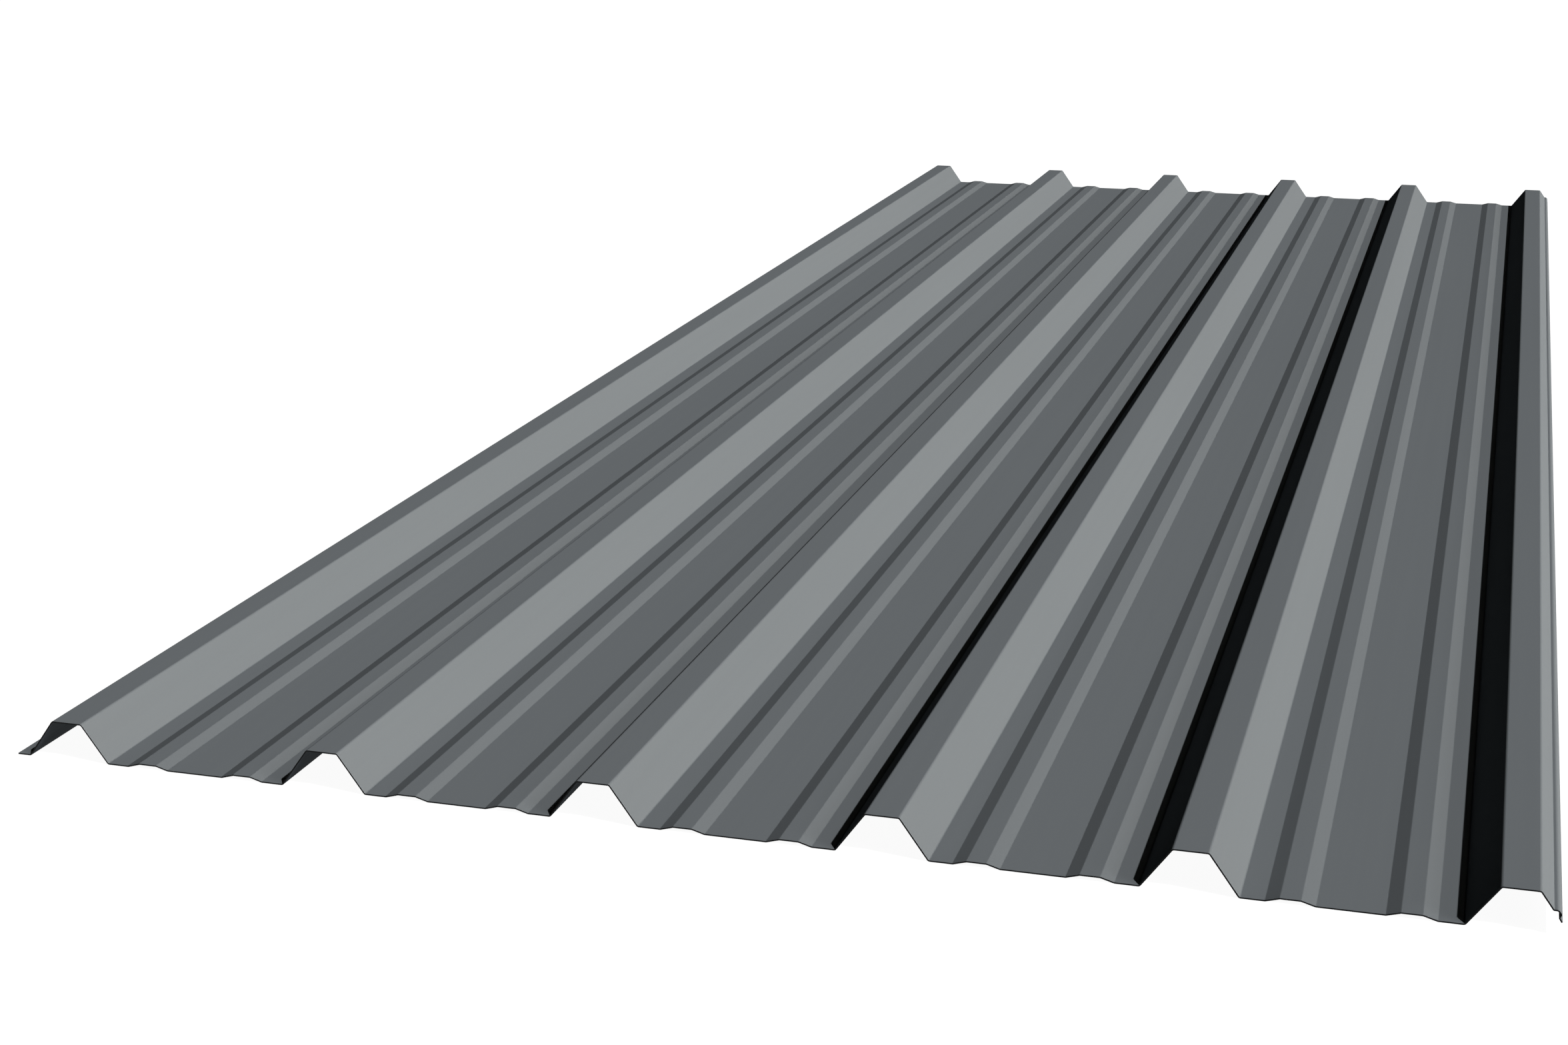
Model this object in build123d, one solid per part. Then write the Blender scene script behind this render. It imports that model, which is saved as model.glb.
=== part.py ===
from build123d import *
import os

# Trapezoidal roofing sheet, roll-formed from one strip of painted steel.
# X runs across the sheet, Y along it and Z up. The origin is on the underside of the
# middle pan, halfway along the sheet, so the pans lie on Z = 0. Sizes are in mm.
# Widths, heights and bend radii are those of the sheet's middle surface.

# The whole sheet
SHEET_LENGTH = 2850.0
SHEET_THICKNESS = 1.0
CROWN_COUNT = 6
CROWN_PITCH = 200.0

# Crowns, the high ribs
CROWN_HEIGHT = 27.5
CROWN_TOP_WIDTH = 23.0
CROWN_BASE_WIDTH = 62.8
CROWN_BEND_RADIUS = 2.0

# Stiffeners, the two low ribs in each pan
STIFFENER_HEIGHT = 2.6
STIFFENER_TOP_WIDTH = 13.1
STIFFENER_BASE_WIDTH = 31.3
STIFFENER_TO_CROWN = 16.0
STIFFENER_BEND_RADIUS = 3.0

# Left edge: a flat foot, which lies under the next sheet's outer pan
FOOT_WIDTH = 10.2

# Right edge: the last web stops at a narrow shelf. Below it a bead stands the edge off
# the web that it laps over, and a lip turns out again, so that no water creeps up the lap.
LAP_WEB_DROP = 11.25
SHELF_WIDTH = 3.0
BEAD_OUT = 1.6
BEAD_DROP = 2.5
NECK_IN = 0.95
NECK_DROP = 2.35
LIP_OUT = 1.7
LIP_DROP = 2.7
LAP_BEND_RADIUS = 1.0

pan_level = SHEET_THICKNESS / 2
web_run = (CROWN_BASE_WIDTH - CROWN_TOP_WIDTH) / 2
first_crown_x = -CROWN_PITCH * (CROWN_COUNT - 1) / 2


def trapezoid(centre_x, base_width, top_width, height, radius):
    """Four bends of a rib that stands on the pans, each as x, z and bend radius."""
    return [
        (centre_x - base_width / 2, pan_level, radius),
        (centre_x - top_width / 2, pan_level + height, radius),
        (centre_x + top_width / 2, pan_level + height, radius),
        (centre_x + base_width / 2, pan_level, radius),
    ]


def crown(centre_x):
    return trapezoid(
        centre_x, CROWN_BASE_WIDTH, CROWN_TOP_WIDTH, CROWN_HEIGHT, CROWN_BEND_RADIUS
    )


def stiffened_pan(left_crown_x):
    """Bends of the two stiffeners between the crown at left_crown_x and the next one."""
    inset = CROWN_BASE_WIDTH / 2 + STIFFENER_TO_CROWN + STIFFENER_BASE_WIDTH / 2
    bends = []
    for centre_x in (left_crown_x + inset, left_crown_x + CROWN_PITCH - inset):
        bends += trapezoid(
            centre_x,
            STIFFENER_BASE_WIDTH,
            STIFFENER_TOP_WIDTH,
            STIFFENER_HEIGHT,
            STIFFENER_BEND_RADIUS,
        )
    return bends


def lap_edge(x, z):
    """Bends from the end of the last web down to the lip's tip. x and z are the right
    corner of the last crown's top."""
    steps = [
        (web_run * LAP_WEB_DROP / CROWN_HEIGHT, -LAP_WEB_DROP),
        (SHELF_WIDTH, 0),
        (BEAD_OUT, -BEAD_DROP),
        (-NECK_IN, -NECK_DROP),
        (LIP_OUT, -LIP_DROP),
    ]
    bends = []
    for step_x, step_z in steps:
        x += step_x
        z += step_z
        bends.append((x, z, LAP_BEND_RADIUS))
    return bends


def middle_line():
    """The section's middle line, from the foot's free edge to the lip's."""
    bends = []
    for i in range(CROWN_COUNT - 1):
        crown_x = first_crown_x + i * CROWN_PITCH
        bends += crown(crown_x) + stiffened_pan(crown_x)
    last_crown = crown(first_crown_x + (CROWN_COUNT - 1) * CROWN_PITCH)[:-1]
    top_right_x, top_right_z, _ = last_crown[-1]
    bends += last_crown + lap_edge(top_right_x, top_right_z)

    foot_edge = (first_crown_x - CROWN_BASE_WIDTH / 2 - FOOT_WIDTH, pan_level)
    points = [foot_edge] + [(x, z) for x, z, _ in bends]
    radii = [radius for _, _, radius in bends[:-1]]
    return Plane.XZ * FilletPolyline(*points, radius=radii)


def section():
    """The middle line thickened by half the sheet to each side, with square free edges."""
    line = middle_line().wire()
    top = line.offset_2d(SHEET_THICKNESS / 2, side=Side.LEFT, closed=False)
    underside = line.offset_2d(SHEET_THICKNESS / 2, side=Side.RIGHT, closed=False)
    # The underside's offset runs back from the lip to the foot
    lip_edge = Edge.make_line(top @ 1, underside @ 0)
    foot_edge = Edge.make_line(underside @ 1, top @ 0)
    return make_face([*top.edges(), lip_edge, *underside.edges(), foot_edge])


def corrugated_sheet():
    sheet = extrude(section(), amount=SHEET_LENGTH / 2, both=True)
    sheet.label = "corrugated_sheet"
    return sheet


os.makedirs("parts", exist_ok=True)
export_step(corrugated_sheet(), "parts/corrugated_sheet.step")
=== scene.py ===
"""Finish, floor, light and camera for a trapezoidal roofing sheet.

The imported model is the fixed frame. Its mesh has one flat facet at each bend, so the
sheet is rolled again here from the same section, with round bends and trimmed ends,
and gets its paint, its back coat and its cut edges. Lengths are in metres. X runs
across the sheet, Y along it and Z up.
"""

import math
from collections import namedtuple

import bmesh
import bpy
from bpy.props import FloatProperty, FloatVectorProperty, IntProperty, PointerProperty
from mathutils import Matrix, Vector


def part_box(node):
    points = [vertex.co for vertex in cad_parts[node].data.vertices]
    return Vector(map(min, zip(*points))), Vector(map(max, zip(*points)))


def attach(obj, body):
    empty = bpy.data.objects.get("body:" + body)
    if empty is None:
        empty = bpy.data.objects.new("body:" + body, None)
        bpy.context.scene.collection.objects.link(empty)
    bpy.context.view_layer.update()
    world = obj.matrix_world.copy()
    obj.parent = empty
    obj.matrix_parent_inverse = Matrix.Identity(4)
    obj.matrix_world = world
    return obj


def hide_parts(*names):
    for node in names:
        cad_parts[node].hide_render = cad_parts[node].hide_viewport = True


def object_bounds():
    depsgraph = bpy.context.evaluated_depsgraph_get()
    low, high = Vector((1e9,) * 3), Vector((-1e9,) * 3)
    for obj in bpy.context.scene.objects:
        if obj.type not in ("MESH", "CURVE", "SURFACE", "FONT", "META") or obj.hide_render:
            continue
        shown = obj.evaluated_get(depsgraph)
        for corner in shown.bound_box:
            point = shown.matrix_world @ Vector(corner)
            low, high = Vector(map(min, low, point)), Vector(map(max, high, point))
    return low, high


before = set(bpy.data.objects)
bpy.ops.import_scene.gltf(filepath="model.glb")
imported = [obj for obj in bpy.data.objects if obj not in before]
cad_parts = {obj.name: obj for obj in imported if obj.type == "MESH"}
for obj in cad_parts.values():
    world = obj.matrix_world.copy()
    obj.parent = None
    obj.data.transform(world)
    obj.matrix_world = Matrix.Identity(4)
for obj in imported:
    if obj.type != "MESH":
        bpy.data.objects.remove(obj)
CAD_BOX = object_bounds()
CAD_LENGTH = CAD_BOX[1].y - CAD_BOX[0].y

bl_info = {
    "name": "Trapezoidal roofing sheet",
    "version": (1, 0, 0),
    "blender": (4, 5, 0),
    "location": "3D View > Sidebar > Roofing sheet",
    "description": "Rolls and paints a trapezoidal roofing sheet, and sets up its stage",
    "category": "Object",
}

SHEET_NODE = "corrugated_sheet"

# The most by which the rolled sheet's corners may lie off those of its CAD node
BOX_TOLERANCE = 0.001

# How finely the sheet is meshed, and how much is taken off the corners of its cut edges
ARC_STEP = math.radians(7.0)
FEWEST_ARC_STEPS = 2
LENGTH_STEP = 0.12
CUT_TRIM = 0.0001

# Order of the sheet's materials in its mesh
TOP_COAT, BACK_COAT, CUT_EDGE = range(3)

# Grains of each pattern to the metre across, along and up the sheet
TONE_GRAINS = (2.2, 0.9, 2.2)
STREAK_GRAINS = (140.0, 1.6, 140.0)
SHEEN_GRAINS = (9.0, 3.0, 9.0)
BACK_MOTTLE_GRAINS = (60.0, 25.0, 60.0)
BACK_STREAK_GRAINS = (300.0, 2.0, 300.0)
BACK_FINE_GRAINS = (700.0, 700.0, 700.0)
SHEAR_MARK_GRAINS = (2500.0, 2500.0, 500.0)

# How many finer copies of itself a pattern holds, each at half the size
PLAIN, FINE, FINEST = 2.0, 3.0, 4.0

# Nearly all of a noise lies between these two values
NOISE_LOW, NOISE_HIGH = 0.3, 0.7

# The share by which each pattern makes its colour lighter and darker
TONE_CHANGE = 0.015
STREAK_CHANGE = 0.01
SPECKLE_CHANGE = 0.015
BACK_MOTTLE_CHANGE = 0.07
BACK_STREAK_CHANGE = 0.04
SHEAR_MARK_CHANGE = 0.25

# Roughness of the finishes, and how far it varies on two of them
PAINT_ROUGHNESS_CHANGE = 0.05
BACK_ROUGHNESS = 0.62
CUT_ROUGHNESS = 0.55
CUT_ROUGHNESS_CHANGE = 0.1
SHEAR_MARK_DEPTH = 0.00003

# How strongly the finishes mirror what is round them. The coats are too matt to do so.
COAT_MIRRORING = 0.0
CUT_MIRRORING = 0.05

WHITE = (1.0, 1.0, 1.0)

# The way from the sheet to each lamp
KEY_DIRECTION = (0.6551, -0.225, 0.7213)
FILL_DIRECTION = (0.832, -0.280, 0.480)
SIDE_DIRECTION = (0.99974, 0.0, 0.02269)
EDGE_DIRECTION = (1.0, 0.0, 0.0)
LAMP_DISTANCE = 4.0

# Width of the lamps in degrees
HARD = 1.0
SOFT = 20.0

# The floor lies just below the pans, so that the two faces don't coincide
FLOOR_LEVEL = -0.0001

# The camera as it was fitted to the photograph: its place and reach in metres, its turn
# in degrees, and its lens and sensor in millimetres
CAMERA_PLACE = (0.45692, -2.88149, 0.66925)
CAMERA_TURN = (73.5617, -0.0086, 16.2027)
CAMERA_LENS = 57.195
CAMERA_SENSOR = 36.0
CAMERA_REACH = 200.0

# A bend of the section: its corner, the radius that rounds it, and how many times
# steeper than it is the surface is shaded there
Bend = namedtuple("Bend", "x height radius relief", defaults=(1.0,))

# A point of the middle line: its place, the normal towards the painted side and the
# normal that the paint is shaded with, all across the sheet and up
LinePoint = namedtuple("LinePoint", "place normal shading")

# The points round the section at one place along the sheet: rows from foot to lip on the
# top and on the underside, and the two points of each free edge, the top one first
Slice = namedtuple("Slice", "top under foot lip")


class SheetSizes(bpy.types.PropertyGroup):
    """Sizes of the section, measured on the middle of the sheet's thickness"""

    length: FloatProperty(
        name="Length",
        description="Length of the sheet",
        default=CAD_LENGTH,
        min=0.1,
        unit="LENGTH",
    )
    thickness: FloatProperty(
        name="Thickness",
        description="Thickness of the sheet, with its coatings",
        default=0.001,
        min=0.0003,
        unit="LENGTH",
    )
    crown_count: IntProperty(
        name="Crowns",
        description="Number of crowns across the sheet",
        default=6,
        min=2,
    )
    crown_pitch: FloatProperty(
        name="Crown pitch",
        description="Distance from one crown's middle to the next",
        default=0.2,
        unit="LENGTH",
    )
    crown_height: FloatProperty(
        name="Crown height",
        description="Height of the crowns above the pans",
        default=0.0275,
        unit="LENGTH",
    )
    crown_top_width: FloatProperty(
        name="Crown top width",
        description="Width of a crown's top, from bend to bend",
        default=0.023,
        unit="LENGTH",
    )
    crown_base_width: FloatProperty(
        name="Crown base width",
        description="Width of a crown at the pans, from bend to bend",
        default=0.0628,
        unit="LENGTH",
    )
    crown_bend_radius: FloatProperty(
        name="Crown bend radius",
        description="Radius of the bends at the crowns",
        default=0.002,
        unit="LENGTH",
    )
    stiffener_height: FloatProperty(
        name="Stiffener height",
        description="Height of the two low ribs in each pan",
        default=0.0026,
        unit="LENGTH",
    )
    stiffener_top_width: FloatProperty(
        name="Stiffener top width",
        description="Width of a stiffener's top, from bend to bend",
        default=0.0131,
        unit="LENGTH",
    )
    stiffener_base_width: FloatProperty(
        name="Stiffener base width",
        description="Width of a stiffener at the pan, from bend to bend",
        default=0.0313,
        unit="LENGTH",
    )
    stiffener_to_crown: FloatProperty(
        name="Stiffener to crown",
        description="Flat between a crown's base and the nearest stiffener",
        default=0.016,
        unit="LENGTH",
    )
    stiffener_bend_radius: FloatProperty(
        name="Stiffener bend radius",
        description="Radius of the bends at the stiffeners",
        default=0.003,
        unit="LENGTH",
    )
    left_flank_relief: FloatProperty(
        name="Left flank relief",
        description="How many times steeper the stiffeners' left flanks are shaded",
        default=1.6,
        min=1.0,
        max=2.0,
    )
    right_flank_relief: FloatProperty(
        name="Right flank relief",
        description="How many times steeper the stiffeners' right flanks are shaded",
        default=1.25,
        min=1.0,
        max=2.0,
    )
    foot_width: FloatProperty(
        name="Foot width",
        description="Flat strip outside the first crown",
        default=0.0102,
        unit="LENGTH",
    )
    lap_web_drop: FloatProperty(
        name="Lap web drop",
        description="How far the last web comes down before the shelf",
        default=0.01125,
        unit="LENGTH",
    )
    shelf_width: FloatProperty(
        name="Shelf width",
        description="Width of the narrow shelf on the lap edge",
        default=0.003,
        unit="LENGTH",
    )
    bead_out: FloatProperty(
        name="Bead out",
        description="How far the bead stands out beyond the shelf",
        default=0.0016,
        unit="LENGTH",
    )
    bead_drop: FloatProperty(
        name="Bead drop",
        description="Height of the bead's outer face",
        default=0.0025,
        unit="LENGTH",
    )
    neck_in: FloatProperty(
        name="Neck in",
        description="How far the edge turns in below the bead",
        default=0.00095,
        unit="LENGTH",
    )
    neck_drop: FloatProperty(
        name="Neck drop",
        description="Height of the neck below the bead",
        default=0.00235,
        unit="LENGTH",
    )
    lip_out: FloatProperty(
        name="Lip out",
        description="How far the lip turns out below the neck",
        default=0.0017,
        unit="LENGTH",
    )
    lip_drop: FloatProperty(
        name="Lip drop",
        description="Height of the lip",
        default=0.0027,
        unit="LENGTH",
    )
    lap_bend_radius: FloatProperty(
        name="Lap bend radius",
        description="Radius of the small bends on the lap edge",
        default=0.001,
        unit="LENGTH",
    )
    bead_bend_radius: FloatProperty(
        name="Bead bend radius",
        description="Radius of the bend from the shelf into the bead",
        default=0.0025,
        unit="LENGTH",
    )


class SheetFinish(bpy.types.PropertyGroup):
    """Colours and surface of the paint, the back coat and the cut edges, the last two
    darkened as painted shade
    """

    top_coat: FloatVectorProperty(
        name="Top coat",
        description="Colour of the paint on the weather side",
        subtype="COLOR",
        size=3,
        min=0.0,
        max=1.0,
        default=(0.124, 0.135, 0.143),
    )
    # The back coat's very dark colour is painted shade for the underside, which the
    # shadowless side lamp lights through the sheet
    back_coat_and_shade: FloatVectorProperty(
        name="Back coat",
        description="Colour of the thin coat on the underside",
        subtype="COLOR",
        size=3,
        min=0.0,
        max=1.0,
        default=(0.031, 0.037, 0.045),
    )
    # The cut edge's near-black colour is partly painted shade on the cut faces; the sheared
    # steel itself is a lighter grey
    cut_edge_and_shade: FloatVectorProperty(
        name="Cut edge",
        description="Colour of the steel where the sheet was sheared",
        subtype="COLOR",
        size=3,
        min=0.0,
        max=1.0,
        default=(0.012, 0.013, 0.0135),
    )
    paint_roughness: FloatProperty(
        name="Paint roughness",
        description="Roughness of the matt paint",
        default=0.6,
        min=0.0,
        max=1.0,
        subtype="FACTOR",
    )
    grain_size: FloatProperty(
        name="Grain size",
        description="Size of the fine grain in the matt paint",
        default=0.0011,
        precision=4,
        unit="LENGTH",
    )
    grain_depth: FloatProperty(
        name="Grain depth",
        description="Depth of the fine grain in both coats",
        default=0.00002,
        precision=6,
        unit="LENGTH",
    )


class StageSettings(bpy.types.PropertyGroup):
    """The floor and the lamps"""

    floor_size: FloatProperty(
        name="Floor size",
        description="Side of the square floor",
        default=60.0,
        unit="LENGTH",
    )
    floor_colour: FloatVectorProperty(
        name="Floor colour",
        description="Colour of the floor in the light of the lamps, apart from its own white",
        subtype="COLOR",
        size=3,
        min=0.0,
        max=1.0,
        default=(0.10, 0.10, 0.10),
    )
    floor_glow: FloatProperty(
        name="Floor whiteness",
        description="How much of the floor's white the camera sees without any lamp",
        default=0.95,
        min=0.0,
        max=1.0,
        subtype="FACTOR",
    )
    key_strength: FloatProperty(
        name="Key lamp strength",
        description="Strength of the lamp that casts the shadows",
        default=3.61,
    )
    fill_strength: FloatProperty(
        name="Fill lamp strength",
        description="Strength of the wide, soft lamp below the key lamp",
        default=0.92,
    )
    side_strength: FloatProperty(
        name="Side lamp strength",
        description="Strength of the low lamp that lifts the faces on the right",
        default=2.74,
    )
    side_colour: FloatVectorProperty(
        name="Side lamp colour",
        description="Colour of the low lamp, a little warmer than the others",
        subtype="COLOR",
        size=3,
        min=0.0,
        max=1.0,
        default=(1.0, 0.93, 0.82),
    )
    edge_strength: FloatProperty(
        name="Edge lamp strength",
        description="Strength of the level lamp that lights the outermost edge on the right",
        default=1.5,
    )
    room_light: FloatProperty(
        name="Room light",
        description="Strength of the even light from all around",
        default=0.0,
        min=0.0,
    )


class RoofingSheetSettings(bpy.types.PropertyGroup):
    """Everything that a user of the sheet may change"""

    sizes: PointerProperty(type=SheetSizes)
    finish: PointerProperty(type=SheetFinish)
    stage: PointerProperty(type=StageSettings)


# The section


def trapezoid(centre_x, base_width, top_width, height, radius, reliefs=(1.0, 1.0)):
    """The four bends of a rib that stands on the pans, from left to right."""
    left, right = reliefs
    return [
        Bend(centre_x - base_width / 2, 0.0, radius, left),
        Bend(centre_x - top_width / 2, height, radius, left),
        Bend(centre_x + top_width / 2, height, radius, right),
        Bend(centre_x + base_width / 2, 0.0, radius, right),
    ]


def crown(s, centre_x):
    """The bends of one crown."""
    return trapezoid(
        centre_x,
        s.crown_base_width,
        s.crown_top_width,
        s.crown_height,
        s.crown_bend_radius,
    )


def stiffener(s, centre_x):
    """The bends of one low rib in a pan, whose flanks are shaded steeper than they are."""
    return trapezoid(
        centre_x,
        s.stiffener_base_width,
        s.stiffener_top_width,
        s.stiffener_height,
        s.stiffener_bend_radius,
        (s.left_flank_relief, s.right_flank_relief),
    )


def lap_edge(s, corner):
    """Bends from the end of the last web down to the lip's tip. corner is the right
    corner of the last crown's top."""
    x, height = corner.x, corner.height
    web_run = (s.crown_base_width - s.crown_top_width) / 2
    bends = []
    # The bead is a little rounder than in the solid, as it is in the photograph
    for step_x, step_up, radius in (
        (web_run * s.lap_web_drop / s.crown_height, -s.lap_web_drop, s.lap_bend_radius),
        (s.shelf_width, 0.0, s.bead_bend_radius),
        (s.bead_out, -s.bead_drop, s.lap_bend_radius),
        (-s.neck_in, -s.neck_drop, s.lap_bend_radius),
        (s.lip_out, -s.lip_drop, 0.0),
    ):
        x += step_x
        height += step_up
        bends.append(Bend(x, height, radius))
    return bends


def section(s):
    """All corners of the section from the foot's free edge to the lip's. Heights are
    above the middle of the sheet's thickness in the pans."""
    first_crown_x = -s.crown_pitch * (s.crown_count - 1) / 2
    inset = (
        s.crown_base_width / 2 + s.stiffener_to_crown + s.stiffener_base_width / 2
    )
    bends = [Bend(first_crown_x - s.crown_base_width / 2 - s.foot_width, 0.0, 0.0)]
    for i in range(s.crown_count - 1):
        crown_x = first_crown_x + i * s.crown_pitch
        bends += crown(s, crown_x)
        bends += stiffener(s, crown_x + inset)
        bends += stiffener(s, crown_x + s.crown_pitch - inset)
    # The last web stops part of the way down and goes on as the lap edge
    bends += crown(s, -first_crown_x)[:-1]
    return bends + lap_edge(s, bends[-1])


def corner_of(bend):
    """The place where the two straight runs beside the bend would meet."""
    return Vector((bend.x, bend.height))


def turned_left(direction):
    """direction turned by a right angle: from along the sheet's line to its painted side."""
    return Vector((-direction.y, direction.x))


def line_point(place, direction, relief=1.0):
    """A point of the middle line, which runs in direction there."""
    tilt = math.atan2(direction.y, direction.x) * relief
    shading = Vector((-math.sin(tilt), math.cos(tilt)))
    return LinePoint(place, turned_left(direction), shading)


def bend_arc(before, bend, after):
    """The points of the arc that rounds a bend, which lies between the other two."""
    corner = corner_of(bend)
    along = (corner - corner_of(before)).normalized()
    away = (corner_of(after) - corner).normalized()
    turn = math.atan2(along.x * away.y - along.y * away.x, along.dot(away))
    to_centre = bend.radius * math.copysign(1.0, turn)
    start = corner - along * bend.radius * math.tan(abs(turn) / 2)
    centre = start + turned_left(along) * to_centre
    steps = max(FEWEST_ARC_STEPS, math.ceil(abs(turn) / ARC_STEP))
    points = []
    for k in range(steps + 1):
        direction = Matrix.Rotation(turn * k / steps, 2) @ along
        place = centre - turned_left(direction) * to_centre
        points.append(line_point(place, direction, bend.relief))
    return points


def middle_line(bends):
    """The middle of the sheet's thickness, with round bends, from foot to lip."""
    corners = [corner_of(bend) for bend in bends]
    line = [line_point(corners[0], (corners[1] - corners[0]).normalized())]
    for before, bend, after in zip(bends, bends[1:], bends[2:]):
        line += bend_arc(before, bend, after)
    line.append(line_point(corners[-1], (corners[-1] - corners[-2]).normalized()))
    return line


# The mesh


def outline(cut):
    """All points round a slice: along the top, round the lip and back underneath."""
    return [*cut.top, *cut.lip, *reversed(cut.under), *reversed(cut.foot)]


class SheetMesh:
    """The sheet's mesh while it is made, slice by slice along the sheet."""

    def __init__(self, line, thickness):
        self.mesh = bmesh.new()
        self.shading = []
        self.line = line
        self.half = thickness / 2
        foot, lip = line[0], line[-1]
        # The rows of points stop where the free edges' corners are trimmed
        self.places = [point.place for point in line]
        self.places[0] = foot.place - turned_left(foot.normal) * CUT_TRIM
        self.places[-1] = lip.place + turned_left(lip.normal) * CUT_TRIM

    def add_point(self, place, y, shading):
        """Adds a point and keeps the normal that it is shaded with."""
        self.shading.append(Vector((shading.x, 0.0, shading.y)))
        return self.mesh.verts.new((place.x, y, place.y + self.half))

    def add_row(self, y, offset):
        """Adds the points along the section at y, offset from its middle line."""
        side = math.copysign(1.0, offset)
        return [
            self.add_point(place + at.normal * offset, y, at.shading * side)
            for place, at in zip(self.places, self.line)
        ]

    def add_free_edge(self, y, end):
        """Adds the two points of a free edge at y, one on each side of the line's end."""
        offset = self.half - CUT_TRIM
        return [
            self.add_point(end.place + end.normal * offset, y, end.normal),
            self.add_point(end.place - end.normal * offset, y, -end.normal),
        ]

    def add_slice(self, y):
        """Adds a slice at y, with the free edges' corners trimmed."""
        top = self.add_row(y, self.half)
        under = self.add_row(y, -self.half)
        foot, lip = (self.add_free_edge(y, end) for end in (self.line[0], self.line[-1]))
        return Slice(top, under, foot, lip)

    def add_end_slice(self, y):
        """Adds the slice at a cut end, whose corners are trimmed all round."""
        top = self.add_row(y, self.half - CUT_TRIM)
        under = self.add_row(y, CUT_TRIM - self.half)
        return Slice(top, under, (top[0], under[0]), (top[-1], under[-1]))

    def add_face(self, points, finish):
        """Adds a face between the points that differ, unless they are only two."""
        corners = list(dict.fromkeys(points))
        if len(corners) > 2:
            self.mesh.faces.new(corners).material_index = finish

    def add_skin(self, near, far, coats):
        """Adds the faces from one slice to the next. coats are the finishes of the top
        and of the underside."""
        steps = len(self.line) - 1
        # The cut of a free edge, with the trim of its corner on each side
        free_edge = [CUT_EDGE] * 3
        top_coat, back_coat_and_shade = coats
        finishes = [top_coat] * steps + free_edge + [back_coat_and_shade] * steps + free_edge
        a, b = outline(near), outline(far)
        for i, finish in enumerate(finishes):
            j = (i + 1) % len(a)
            self.add_face((a[i], a[j], b[j], b[i]), finish)

    def add_cut_face(self, end, faces_back):
        """Adds the flat face that closes a cut end."""
        for i in range(len(self.line) - 1):
            corners = (end.top[i], end.under[i], end.under[i + 1], end.top[i + 1])
            self.add_face(reversed(corners) if faces_back else corners, CUT_EDGE)

    def finished(self):
        """The finished mesh, with its coated faces shaded round and its cut ones flat."""
        self.mesh.normal_update()
        made = bpy.data.meshes.new("rolled_sheet")
        self.mesh.to_mesh(made)
        self.mesh.free()
        normals = []
        for polygon in made.polygons:
            polygon.use_smooth = True
            flat = polygon.material_index == CUT_EDGE
            for vertex in polygon.vertices:
                normals.append(polygon.normal if flat else self.shading[vertex])
        made.normals_split_custom_set(normals)
        return made


def rolled_sheet(s):
    """The sheet as a mesh with round bends, trimmed ends and three finishes."""
    sheet = SheetMesh(middle_line(section(s)), s.thickness)
    end = s.length / 2
    count = max(1, round(s.length / LENGTH_STEP))
    step = (s.length - 2 * CUT_TRIM) / count
    front = sheet.add_end_slice(-end)
    inner = [sheet.add_slice(CUT_TRIM - end + step * k) for k in range(count + 1)]
    back = sheet.add_end_slice(end)

    sheet.add_skin(front, inner[0], (CUT_EDGE, CUT_EDGE))
    for near, far in zip(inner, inner[1:]):
        sheet.add_skin(near, far, (TOP_COAT, BACK_COAT))
    sheet.add_skin(inner[-1], back, (CUT_EDGE, CUT_EDGE))
    sheet.add_cut_face(front, False)
    sheet.add_cut_face(back, True)
    return sheet.finished()


def check_box(mesh):
    """Raises an error if the sheet doesn't fill the space of its CAD node."""
    for wanted, furthest in zip(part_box(SHEET_NODE), (min, max)):
        reached = Vector([furthest(v.co[axis] for v in mesh.vertices) for axis in range(3)])
        if (wanted - reached).length > BOX_TOLERANCE:
            raise RuntimeError(f"the rolled sheet reaches {reached}, not {wanted}")


# The finishes


def add_node(tree, kind, values=None, **settings):
    """Adds a node, with values for its inputs and settings of the node itself."""
    made = tree.nodes.new(kind)
    for name, value in settings.items():
        setattr(made, name, value)
    for name, value in (values or {}).items():
        made.inputs[name].default_value = value
    return made


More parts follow.
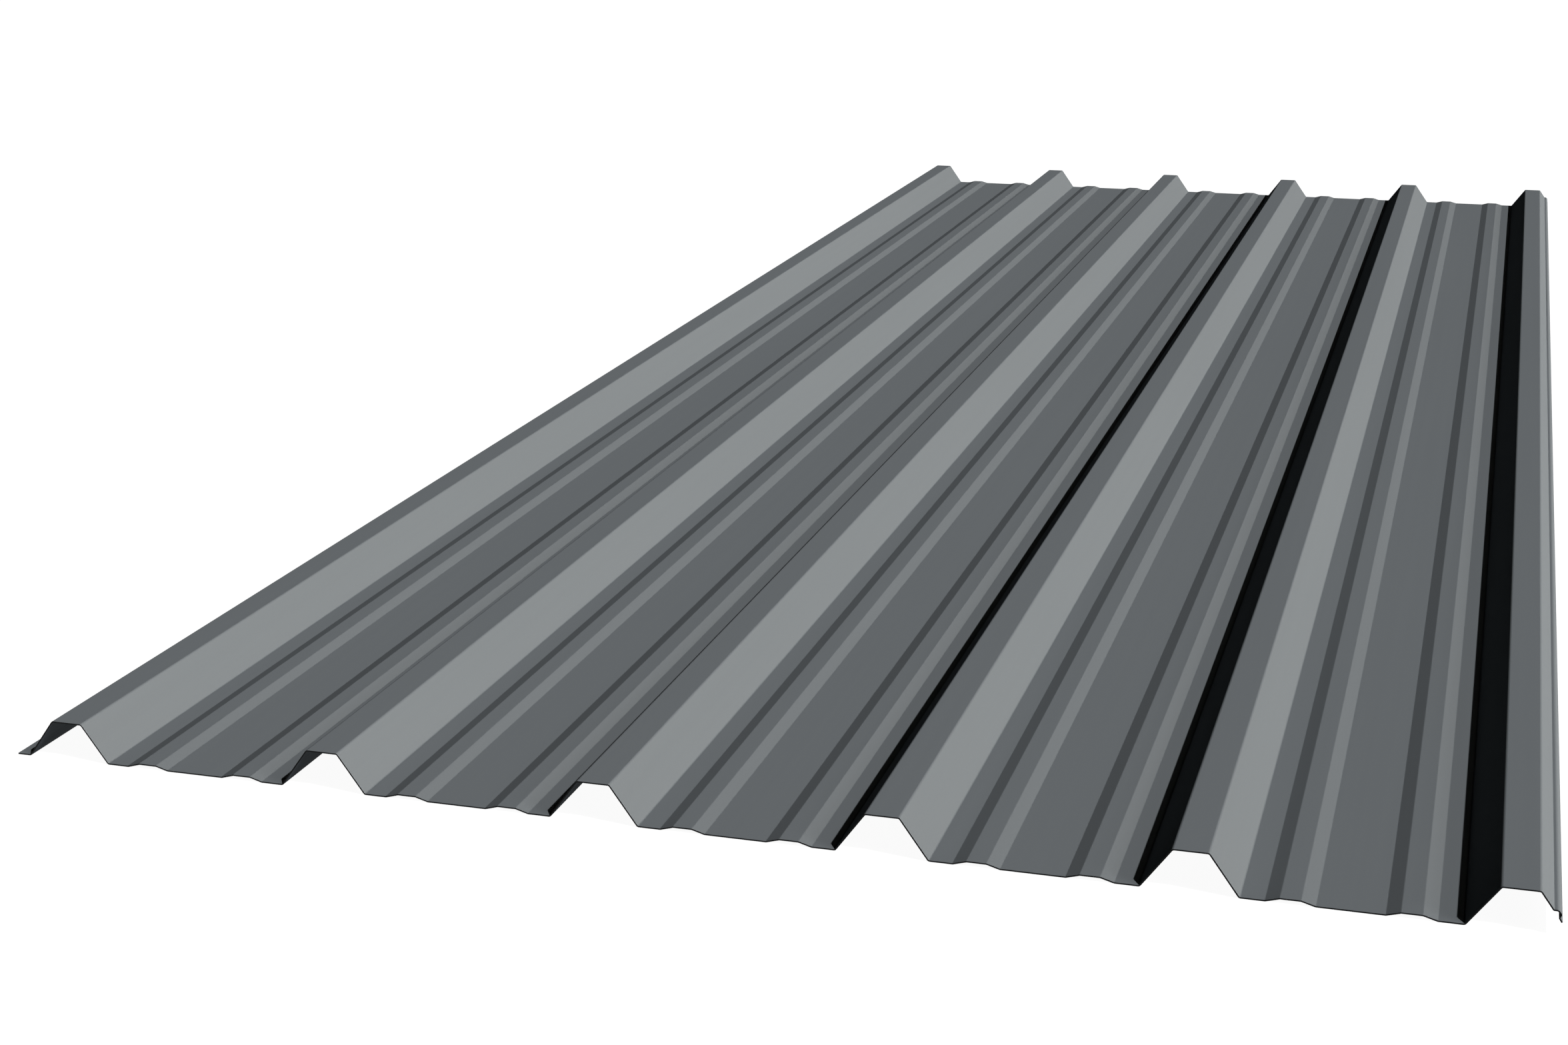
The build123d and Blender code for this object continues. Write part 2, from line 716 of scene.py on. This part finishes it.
class Finish:
    """A material while it is made: its nodes, its shader and its object coordinates."""

    def __init__(self, name):
        self.material = bpy.data.materials.new(name)
        self.material.use_nodes = True
        self.tree = self.material.node_tree
        self.tree.nodes.clear()
        self.link = self.tree.links.new
        self.shader = add_node(self.tree, "ShaderNodeBsdfPrincipled")
        output = add_node(self.tree, "ShaderNodeOutputMaterial")
        self.link(self.shader.outputs["BSDF"], output.inputs["Surface"])
        self.coordinates = add_node(self.tree, "ShaderNodeTexCoord").outputs["Object"]

    def noise(self, grains, detail):
        """Noise with so many grains to the metre on each axis."""
        mapping = add_node(self.tree, "ShaderNodeMapping", {"Scale": grains})
        noise = add_node(
            self.tree, "ShaderNodeTexNoise", {"Scale": 1.0, "Detail": detail}
        )
        self.link(self.coordinates, mapping.inputs["Vector"])
        self.link(mapping.outputs["Vector"], noise.inputs["Vector"])
        return noise.outputs["Fac"]

    def varied(self, noise, middle, change):
        """middle, raised and lowered by as much as change with the noise."""
        spread = add_node(
            self.tree,
            "ShaderNodeMapRange",
            {
                "From Min": NOISE_LOW,
                "From Max": NOISE_HIGH,
                "To Min": middle - change,
                "To Max": middle + change,
            },
        )
        self.link(noise, spread.inputs["Value"])
        return spread.outputs["Result"]

    def set_colour(self, colour, patterns):
        """Colours the surface. patterns are pairs of a noise and the share by which it
        makes the colour lighter and darker."""
        shade, *others = (self.varied(noise, 1.0, change) for noise, change in patterns)
        for other in others:
            product = add_node(self.tree, "ShaderNodeMath", operation="MULTIPLY")
            self.link(shade, product.inputs[0])
            self.link(other, product.inputs[1])
            shade = product.outputs["Value"]
        tinted = add_node(self.tree, "ShaderNodeVectorMath", operation="SCALE")
        tinted.inputs[0].default_value = colour
        self.link(shade, tinted.inputs["Scale"])
        self.link(tinted.outputs["Vector"], self.shader.inputs["Base Color"])

    def set_roughness(self, noise, middle, change):
        """Makes the roughness middle, varied by change with the noise."""
        self.link(self.varied(noise, middle, change), self.shader.inputs["Roughness"])

    def set_bump(self, noise, depth):
        """Raises the surface with the noise, by up to depth."""
        bump = add_node(self.tree, "ShaderNodeBump", {"Strength": 1.0, "Distance": depth})
        self.link(noise, bump.inputs["Height"])
        self.link(bump.outputs["Normal"], self.shader.inputs["Normal"])

    def set_even(self, name, value):
        """Gives one of the shader's inputs the same value all over the surface."""
        self.shader.inputs[name].default_value = value


def top_coat_material(settings):
    """Matt baked paint: very even, with a fine grain, faint streaks along the sheet
    from the paint line, and slow changes of tone over the sheet."""
    paint = Finish("top_coat")
    tone = paint.noise(TONE_GRAINS, FINE)
    streaks = paint.noise(STREAK_GRAINS, FINE)
    grain = paint.noise((1.0 / settings.grain_size,) * 3, FINE)
    sheen = paint.noise(SHEEN_GRAINS, FINEST)
    paint.set_colour(
        settings.top_coat,
        ((tone, TONE_CHANGE), (streaks, STREAK_CHANGE), (grain, SPECKLE_CHANGE)),
    )
    paint.set_roughness(sheen, settings.paint_roughness, PAINT_ROUGHNESS_CHANGE)
    paint.set_bump(grain, settings.grain_depth)
    paint.set_even("Specular IOR Level", COAT_MIRRORING)
    return paint.material


def back_coat_material(settings):
    """The thin coat on the underside: mottled where the zinc shows through, and darker than
    the paint as painted shade, which keeps the underside dark where the side lamp, casting no
    shadow, reaches it through the sheet.
    """
    coat = Finish("back_coat_and_shade")
    mottle = coat.noise(BACK_MOTTLE_GRAINS, FINEST)
    streaks = coat.noise(BACK_STREAK_GRAINS, PLAIN)
    coat.set_colour(
        settings.back_coat_and_shade,
        ((mottle, BACK_MOTTLE_CHANGE), (streaks, BACK_STREAK_CHANGE)),
    )
    coat.set_even("Roughness", BACK_ROUGHNESS)
    coat.set_bump(coat.noise(BACK_FINE_GRAINS, PLAIN), settings.grain_depth)
    coat.set_even("Specular IOR Level", COAT_MIRRORING)
    return coat.material


def cut_edge_material(settings):
    """Sheared steel with fine shear marks across the thickness. Its colour is darker than the
    steel's own, near black, as painted shade on the cut faces.
    """
    steel = Finish("cut_edge_and_shade")
    marks = steel.noise(SHEAR_MARK_GRAINS, FINE)
    steel.set_colour(settings.cut_edge_and_shade, ((marks, SHEAR_MARK_CHANGE),))
    steel.set_roughness(marks, CUT_ROUGHNESS, CUT_ROUGHNESS_CHANGE)
    steel.set_bump(marks, SHEAR_MARK_DEPTH)
    steel.set_even("Specular IOR Level", CUT_MIRRORING)
    return steel.material


# The stage


def seen_directly(tree):
    """1 for the rays of the camera, of gloss and of glass, and 0 for all others."""
    path = add_node(tree, "ShaderNodeLightPath")
    seen = path.outputs["Is Camera Ray"]
    for name in ("Is Glossy Ray", "Is Transmission Ray"):
        larger = add_node(tree, "ShaderNodeMath", operation="MAXIMUM")
        tree.links.new(seen, larger.inputs[0])
        tree.links.new(path.outputs[name], larger.inputs[1])
        seen = larger.outputs["Value"]
    return seen


def floor_material(settings):
    """White for the camera, with the sheet's shadow, and less bright to everything else."""
    material = bpy.data.materials.new("pale_floor")
    material.use_nodes = True
    tree = material.node_tree
    tree.nodes.clear()
    output = add_node(tree, "ShaderNodeOutputMaterial")
    lit = add_node(
        tree, "ShaderNodeBsdfDiffuse", {"Color": (*settings.floor_colour, 1.0)}
    )
    white = add_node(tree, "ShaderNodeEmission", {"Color": (*WHITE, 1.0)})
    strength = add_node(tree, "ShaderNodeMath", operation="MULTIPLY")
    strength.inputs[1].default_value = settings.floor_glow
    both = add_node(tree, "ShaderNodeAddShader")
    tree.links.new(seen_directly(tree), strength.inputs[0])
    tree.links.new(strength.outputs["Value"], white.inputs["Strength"])
    tree.links.new(lit.outputs["BSDF"], both.inputs[0])
    tree.links.new(white.outputs["Emission"], both.inputs[1])
    tree.links.new(both.outputs["Shader"], output.inputs["Surface"])
    return material


def add_floor(settings):
    """Adds the pale floor that the pans lie on."""
    mesh = bmesh.new()
    bmesh.ops.create_grid(mesh, x_segments=1, y_segments=1, size=settings.floor_size / 2)
    made = bpy.data.meshes.new("floor")
    mesh.to_mesh(made)
    mesh.free()
    made.materials.append(floor_material(settings))
    floor = bpy.data.objects.new("floor", made)
    floor.location.z = FLOOR_LEVEL
    bpy.context.scene.collection.objects.link(floor)


def add_world(settings):
    """Plain white where the camera sees it, and the room's light for everything else."""
    world = bpy.data.worlds.new("studio")
    world.use_nodes = True
    tree = world.node_tree
    tree.nodes.clear()
    output = add_node(tree, "ShaderNodeOutputWorld")
    colour = (*WHITE, 1.0)
    room = add_node(
        tree, "ShaderNodeBackground", {"Color": colour, "Strength": settings.room_light}
    )
    white = add_node(tree, "ShaderNodeBackground", {"Color": colour, "Strength": 1.0})
    choice = add_node(tree, "ShaderNodeMixShader")
    tree.links.new(seen_directly(tree), choice.inputs["Fac"])
    tree.links.new(room.outputs["Background"], choice.inputs[1])
    tree.links.new(white.outputs["Background"], choice.inputs[2])
    tree.links.new(choice.outputs["Shader"], output.inputs["Surface"])
    bpy.context.scene.world = world


def add_sun(name, direction, strength, width, colour=WHITE, shadow=True):
    """Adds a lamp that shines from direction and is width degrees across."""
    lamp = bpy.data.lights.new(name, "SUN")
    lamp.color = colour
    lamp.energy = strength
    lamp.angle = math.radians(width)
    lamp.use_shadow = shadow
    placed = bpy.data.objects.new(name, lamp)
    placed.location = Vector(direction) * LAMP_DISTANCE
    placed.rotation_euler = Vector(direction).to_track_quat("Z", "Y").to_euler()
    bpy.context.scene.collection.objects.link(placed)


def add_lamps(settings):
    """A hard lamp for the shadows, a soft one below it, a low one without shadow for the
    faces on the right, and a level one that reaches only the edge on the right."""
    add_sun("key_lamp", KEY_DIRECTION, settings.key_strength, HARD)
    add_sun("fill_lamp", FILL_DIRECTION, settings.fill_strength, SOFT)
    add_sun(
        "side_lamp",
        SIDE_DIRECTION,
        settings.side_strength,
        HARD,
        colour=settings.side_colour,
        shadow=False,
    )
    add_sun("edge_lamp", EDGE_DIRECTION, settings.edge_strength, HARD)


def add_camera():
    """Adds the camera and makes it the scene's own."""
    data = bpy.data.cameras.new("camera")
    data.sensor_fit = "HORIZONTAL"
    data.sensor_width = CAMERA_SENSOR
    data.lens = CAMERA_LENS
    data.clip_end = CAMERA_REACH
    camera = bpy.data.objects.new("camera", data)
    camera.location = CAMERA_PLACE
    camera.rotation_euler = [math.radians(angle) for angle in CAMERA_TURN]
    bpy.context.scene.collection.objects.link(camera)
    bpy.context.scene.camera = camera


# What the user runs


class SHEET_OT_roll_sheet(bpy.types.Operator):
    """Roll the roofing sheet from its section and paint it"""

    bl_idname = "sheet.roll_sheet"
    bl_label = "Roofing sheet"

    def execute(self, context):
        settings = context.scene.roofing_sheet
        mesh = rolled_sheet(settings.sizes)
        check_box(mesh)
        # In the order of TOP_COAT, BACK_COAT and CUT_EDGE
        for make in (top_coat_material, back_coat_material, cut_edge_material):
            mesh.materials.append(make(settings.finish))
        sheet = bpy.data.objects.new("roofing_sheet", mesh)
        context.scene.collection.objects.link(sheet)
        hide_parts(SHEET_NODE)
        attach(sheet, "root")
        return {"FINISHED"}


class SHEET_OT_set_stage(bpy.types.Operator):
    """Add the floor, the lamps, the world and the camera"""

    bl_idname = "sheet.set_stage"
    bl_label = "Stage"

    def execute(self, context):
        stage = context.scene.roofing_sheet.stage
        add_floor(stage)
        add_world(stage)
        add_lamps(stage)
        add_camera()
        context.scene.view_settings.view_transform = "Standard"
        return {"FINISHED"}


class SHEET_PT_panel(bpy.types.Panel):
    """Sizes, finish and stage of the roofing sheet"""

    bl_idname = "SHEET_PT_panel"
    bl_label = "Roofing sheet"
    bl_space_type = "VIEW_3D"
    bl_region_type = "UI"
    bl_category = "Roofing sheet"

    def draw(self, context):
        settings = context.scene.roofing_sheet
        for title, group, operator in (
            ("Sizes", settings.sizes, None),
            ("Finish", settings.finish, SHEET_OT_roll_sheet),
            ("Stage", settings.stage, SHEET_OT_set_stage),
        ):
            box = self.layout.box()
            box.label(text=title)
            for name in group.__annotations__:
                box.prop(group, name)
            if operator:
                box.operator(operator.bl_idname)


CLASSES = (
    SheetSizes,
    SheetFinish,
    StageSettings,
    RoofingSheetSettings,
    SHEET_OT_roll_sheet,
    SHEET_OT_set_stage,
    SHEET_PT_panel,
)


def register():
    for cls in CLASSES:
        bpy.utils.register_class(cls)
    bpy.types.Scene.roofing_sheet = PointerProperty(type=RoofingSheetSettings)


def unregister():
    del bpy.types.Scene.roofing_sheet
    for cls in reversed(CLASSES):
        bpy.utils.unregister_class(cls)


def main():
    """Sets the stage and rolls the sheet."""
    register()
    bpy.ops.sheet.set_stage()
    bpy.ops.sheet.roll_sheet()


if __name__ == "__main__":
    main()
